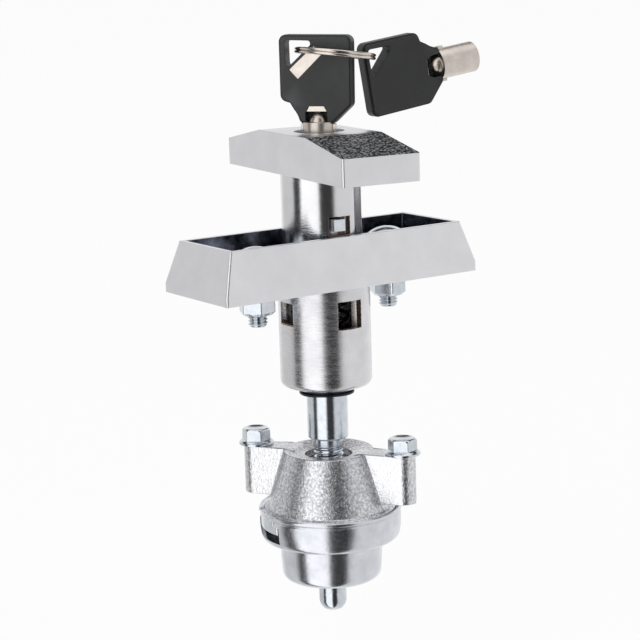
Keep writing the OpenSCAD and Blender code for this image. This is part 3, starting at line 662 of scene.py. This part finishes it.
# points along one turn, points round the wire, and the rise of a closed end turn in wires
winding = {"points": 32, "columns": 12, "endRise": 0.97}
for node, values in springs.items():
    # height follows the turn t: it rises by endRise wires over the first turn and over the last
    wire, turns = values["wire"], values["turns"]
    low, high = values["stand"][0] + wire / 2, values["stand"][1] - wire / 2
    rise = wire * winding["endRise"]
    t = np.linspace(0, turns, int(turns * winding["points"]))
    height = np.interp(t, [0, 1, turns - 1, turns], [low, low + rise, high - rise, high])
    path = polar(values["radius"], 2 * np.pi * t, height)
    mesh = gridMesh(node, [(tubeAlong(path, wire, winding["columns"]), False)])
    obj = finishPiece(node + "_piece", mesh, values["body"], [node], materials["black_steel"])
    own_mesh(obj)

# sheet cup of the receptacle: two drums with slightly bulging sides, drawn over large radii, a rolled rim
# and two slots that start at the rim; radius and height in mm, with the rounding of every inner corner
cup = {"profile": [(5.46, -95.1), (15.5, -95.1), (15.95, -88.5), (16.1, -82.3), (16.7, -81.7), (21.6, -81.7),
                   (22.3, -77.0), (22.2, -73.5), (21.8, -72.9), (22.5, -72.3), (22.5, -71.7), (22.2, -71.3)],
       "rounding": [4.6, 3.0, 0.5, 0.5, 4.0, 2.5, 0.5, 0.3, 0.3, 0.2], "wall": 1.2, "columns": 120,
       # each slot: from and to in degrees, lower edge, and the hook that narrows it above a height
       "slots": ((150, 189.5), (330, 369.5)), "slotLow": -79.7, "hookLow": -74.4, "hookWide": 6,
       # a column nearer than this to an upright edge of a slot gives way to it, in degrees
       "nearest": 0.9, "edge": {"width": 0.15, "angle": 50}}
profile = rounded(cup["profile"], cup["rounding"], steps=7)
for level in (cup["slotLow"], cup["hookLow"]):
    row = np.searchsorted(profile[:, 1], level)
    profile = np.insert(profile, row, [np.interp(level, profile[:, 1], profile[:, 0]), level], axis=0)
upright = np.array([(a, b - cup["hookWide"], b) for a, b in cup["slots"]]).ravel() % 360
turn = np.linspace(0, 360, cup["columns"], endpoint=False)
turn = np.sort(np.append(turn[np.abs(turn[:, None] - upright).min(1) > cup["nearest"]], upright))
points = polar(profile[:, :1], np.radians(turn), profile[:, 1:])
# a face stays unless the middle of it lies in a slot
between = (turn + (np.roll(turn, -1) - turn) % 360 / 2) % 360
along = np.array([(between - a) % 360 for a, b in cup["slots"]]).min(0)
level = ((profile[:-1, 1] + profile[1:, 1]) / 2)[:, None]
wide = np.ptp(cup["slots"][0]) - np.where(level > cup["hookLow"], cup["hookWide"], 0)
stays = ~((level > cup["slotLow"]) & (along < wide))
mesh = bpy.data.meshes.new("receptacle_cup")
mesh.from_pydata((points.reshape(-1, 3) * mm).tolist(), [], gridQuads(*points.shape[:2])[stays].tolist())
mesh.shade_smooth()
obj = finishPiece("receptacle_cup_piece", mesh, "receptacle", ["receptacle_cup"], materials["pressed_sheet"])
wall = obj.modifiers.new("sheet", "SOLIDIFY")
wall.thickness, wall.offset, wall.use_even_offset = cup["wall"] * mm, -1, True
levelFaces(roundEdges(obj, **cup["edge"]))

# bayonet lugs of the cone, which show in the cup's slots: on each side two strips carried round the axis,
# each with its lower and upper edge in millimetres and its length in degrees. Their section is a
# superellipse of this power
lug = {"radius": (20.6, 22.0), "parts": ((-77.0, -73.6, 34.5), (-75.0, -71.8, 28.5)), "start": 152.5,
       "power": 8}
angle = fullTurn(24)
across, upward = (np.sign(f(angle)) * np.abs(f(angle)) ** (2 / lug["power"]) for f in (np.cos, np.sin))
radius = np.mean(lug["radius"]) + across * np.ptp(lug["radius"]) / 2
shells = []
for start in (lug["start"], lug["start"] + 180):
    for low, high, span in lug["parts"]:
        way = np.radians(start + np.linspace(0, span, 16))[:, None]
        shells.append((polar(radius, way, (low + high) / 2 + upward * (high - low) / 2), False))
mesh = gridMesh("bayonet_lugs", shells)
finishPiece("bayonet_lugs", mesh, "receptacle", [], materials["zinc_plate"])

# webs of both key bows: the moulding closes round the domed tube, a six-sided plate across the arch, half
# its thickness to each side and a little behind the bow's middle. Corners are in the bow's own frame: x
# across, z up from the shoulder
web = {"corners": [(-3.75, 0.1), (3.75, 0.1), (3.6, 3.3), (3.1, 3.8), (-3.1, 3.8), (-3.6, 3.3)],
       "half": 0.7, "back": 0.8, "keyTurn": -51, "bowHeight": 48.5,
       "ringPoint": (-6.5, 0, 22.4), "spareTurns": (("Z", 180), ("Y", -98), ("Z", -6))}
rim = np.array([(x, 0, z) for x, z in web["corners"]], float)
plate = np.stack([rim + [0, y, 0] for y in (-web["half"], web["half"])])
first = turned(plate + [0, web["back"], 0], "Z", web["keyTurn"]) + [0, 0, web["bowHeight"]]
spare = plate - [0, web["back"], 0] - web["ringPoint"]
for axis, degrees in web["spareTurns"]:
    spare = turned(spare, axis, degrees)
spare = spare + np.array(joints["spare_swing"]["pos_m"]) / mm
for name, points in (("key_bow", first), ("spare_key_bow", spare)):
    levelFaces(finishPiece(name + "_web", gridMesh(name + "_web", [(points, False)]), bodyOf[name], [],
                           materials["black_plastic"]))

# mounting bolts: M6 carriage bolts, pitch 1 mm; the domed heads stand on round bosses inside the dish, and
# the left one stands leftLower lower. Skirt is the thickness of a head's edge, and firstTilt, in radians,
# keeps the dome's first ring off its axis
bolt = {"spacing": 48.8, "headLow": 11.5, "headHigh": 14.6, "headRadius": 7.2, "skirt": 0.3, "neck": 3.2,
        "thread": 3.0, "threadTop": 0.2, "pitch": 1.0, "depth": 0.6, "tip": 2.3, "chamfer": 0.8, "end": -10.9,
        "leftLower": 1.0, "firstTilt": 0.04, "domeRows": 14, "columns": 48}
boss = {"radius": (8.4, 8.0), "low": 2.9, "top": 11.5, "rounding": 0.6}
rise = bolt["headHigh"] - bolt["headLow"]
curve = (bolt["headRadius"] ** 2 + rise ** 2) / 2 / rise
tilt = np.linspace(bolt["firstTilt"], math.asin(bolt["headRadius"] / curve), bolt["domeRows"])
dome = np.stack([curve * np.sin(tilt), bolt["headHigh"] - curve * (1 - np.cos(tilt))], -1)
under, end, top = bolt["headLow"] - bolt["skirt"], bolt["end"], (bolt["thread"], bolt["threadTop"])
dome = np.vstack([dome, [(bolt["headRadius"], under), (bolt["neck"], under), top]])
core = [(0.3, end), (bolt["tip"], end), (bolt["thread"], end + bolt["chamfer"]), top]
thread = threadRod(core, end + 0.2, 0, bolt["pitch"], bolt["depth"], bolt["columns"])
# each side of the dish, and how much lower its head stands
sides = {-1: bolt["leftLower"], 1: 0}
shells = []
for x, lower in sides.items():
    head = revolve(dome, bolt["columns"])
    head[:-1, :, 2] -= lower
    shells.append((placed(np.vstack([head, thread[::-1][1:]]), (x * bolt["spacing"] / 2, 0, 0)), False))
mesh = gridMesh("mounting_bolts", shells)
levelFaces(finishPiece("mounting_bolts_piece", mesh, "housing", ["mounting_bolts"], materials["zinc_plate"]))
outline = rounded([(boss["radius"][0], boss["low"]), (boss["radius"][1], boss["top"]), (0.3, boss["top"])],
                  boss["rounding"])
whole = revolve(outline, bolt["columns"])
shells = [(placed(whole, (x * bolt["spacing"] / 2, 0, -lower)), False) for x, lower in sides.items()]
mesh = gridMesh("dish_bosses", shells)
levelFaces(finishPiece("dish_bosses", mesh, "housing", [], materials["cast_chrome"]))

# rounding of the nuts' and the flange screws' edges, in millimetres, and the angle from which an edge counts
hexEdge = {"width": 0.12, "angle": 25}

# nuts: six sides of 10 mm, chamfered at both ends, round the bolt's bore. A profile point is radius,
# height and whether the hexagon cuts it
nut = {"across": 10, "turn": 10, "low": -7.25,
       "profile": [(3.1, 0, 0), (4.5, 0, 1), (5.8, 1.0, 1), (5.8, 4.6, 1), (5.0, 5.1, 1), (3.1, 5.1, 0)]}
whole = hexRevolve(nut["profile"], nut["across"], nut["turn"])
shells = [(placed(whole, (x * bolt["spacing"] / 2, 0, nut["low"])), True) for x in sides]
mesh = gridMesh("mounting_nuts", shells)
obj = finishPiece("mounting_nuts_piece", mesh, "housing", ["mounting_nuts"], materials["zinc_plate"])
levelFaces(roundEdges(obj, **hexEdge))

# a black ring of spring steel under the retaining ring, filling the dark crescent below the barrel: that crescent
# is partly a ring and partly shadow, so the ring's black is partly painted shadow. Its height follows three waves
wave = {"inner": 6.5, "outer": 8.6, "low": -34.9, "high": -34.15, "waves": 3, "swing": 0.12}
washer = revolve([(wave["inner"], wave["low"]), (wave["outer"], wave["low"]), (wave["outer"], wave["high"]),
                  (wave["inner"], wave["high"])], columns=72)
around = np.arctan2(washer[:, :, 1], washer[:, :, 0])
washer[:, :, 2] += wave["swing"] * np.cos(wave["waves"] * around) - wave["swing"]
mesh = gridMesh("black_ring_with_painted_shadow", [(washer, True)])
levelFaces(finishPiece("black_ring_with_painted_shadow", mesh, "stud", [], materials["black_steel"]))

# flange screws in the ears: round flange, six sides of 8 mm, cupped top
screw = {"circle": 24.6, "seat": -53.4, "across": 8, "turn": 12,
         "profile": [(0.3, -10.5, 0), (2.4, -10.5, 0), (2.48, -0.02, 0), (5.5, 0, 0), (5.6, 0.35, 0),
                     (5.5, 0.7, 0), (4.85, 1.3, 0), (4.7, 1.5, 1), (4.7, 4.3, 1), (4.3, 4.9, 1),
                     (3.7, 5.2, 0), (3.2, 5.25, 0), (2.4, 4.95, 0), (0.3, 4.8, 0)]}
whole = hexRevolve(screw["profile"], screw["across"], screw["turn"])
shells = []
for way in (earWay, earWay + 180):
    seated = placed(whole, (screw["circle"], 0, screw["seat"]))
    shells.append((placed(seated, turn=way), False))
mesh = gridMesh("flange_screws", shells)
obj = finishPiece("flange_screws_piece", mesh, "receptacle", ["flange_screws"], materials["zinc_plate"])
levelFaces(roundEdges(obj, **hexEdge))
print("turned pieces made")

# rounding of each remaining node's edges in millimetres
roundings = {"escutcheon_dish": 0.14, "housing_barrel": 0.12, "flat_washers": 0.12, "spring_washers": 0.12,
             "thrust_washer": 0.1, "t_handle_head": 0.05, "handle_shank": 0.12, "lock_shell": 0.1,
             "tumbler_block": 0.1, "lock_plug": 0.08, "tumbler_pins": 0.08, "lock_bolt": 0.12,
             "drive_fork": 0.12, "retaining_ring": 0.1, "key_bow": 0.14, "key_core": 0.1, "key_tube": 0.12,
             "spare_key_bow": 0.14, "spare_key_core": 0.1, "spare_key_tube": 0.12, "receptacle_cone": 0.25,
             "nut_jaw_a": 0.1, "nut_jaw_b": 0.1, "nut_jaw_c": 0.1, "jaw_plate": 0.1}
# edges are rounded between faces that meet at more than these degrees; the head's slopes meet its middle at
# a low angle
edgeAngle, headAngle = 32, 12
for node, rounding in roundings.items():
    dressNode(node, rounding, headAngle if node == "t_handle_head" else edgeAngle)
print("nodes dressed:", len(roundings))
